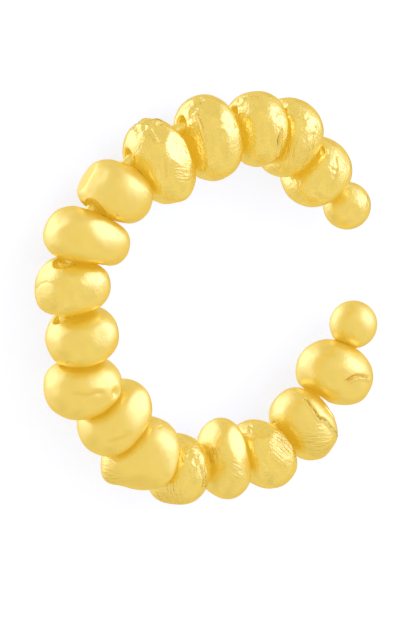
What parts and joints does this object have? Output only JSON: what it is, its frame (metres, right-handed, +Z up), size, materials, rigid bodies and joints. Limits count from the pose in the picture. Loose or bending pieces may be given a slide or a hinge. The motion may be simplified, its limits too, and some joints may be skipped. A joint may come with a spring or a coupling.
{
  "type": "ear cuff",
  "caption": "Open ring ear cuff of irregular gold pebble beads threaded on a round wire, with a plain soldered ball at each end.",
  "frame": {"origin": "under the middle of the cuff's box, on the surface that it lies on", "axes": "+Z up out of the ring's plane, through its open middle; +X out through the opening between the two balls; +Y across the opening, along the cuff's height when it is worn"},
  "size_m": [0.0182, 0.0198, 0.0039],
  "materials": {
    "gold": "satin gold plate on cast brass, lightly brushed and creased"
  },
  "bodies": {
    "root": {"cuff_wire": "gold", "pebble_01": "gold", "pebble_02": "gold", "pebble_03": "gold", "pebble_04": "gold", "pebble_05": "gold", "pebble_06": "gold", "pebble_07": "gold", "pebble_08": "gold", "pebble_09": "gold", "pebble_10": "gold", "pebble_11": "gold", "pebble_12": "gold", "pebble_13": "gold", "pebble_14": "gold", "pebble_15": "gold", "pebble_16": "gold", "pebble_17": "gold"}
  },
  "joints": []
}
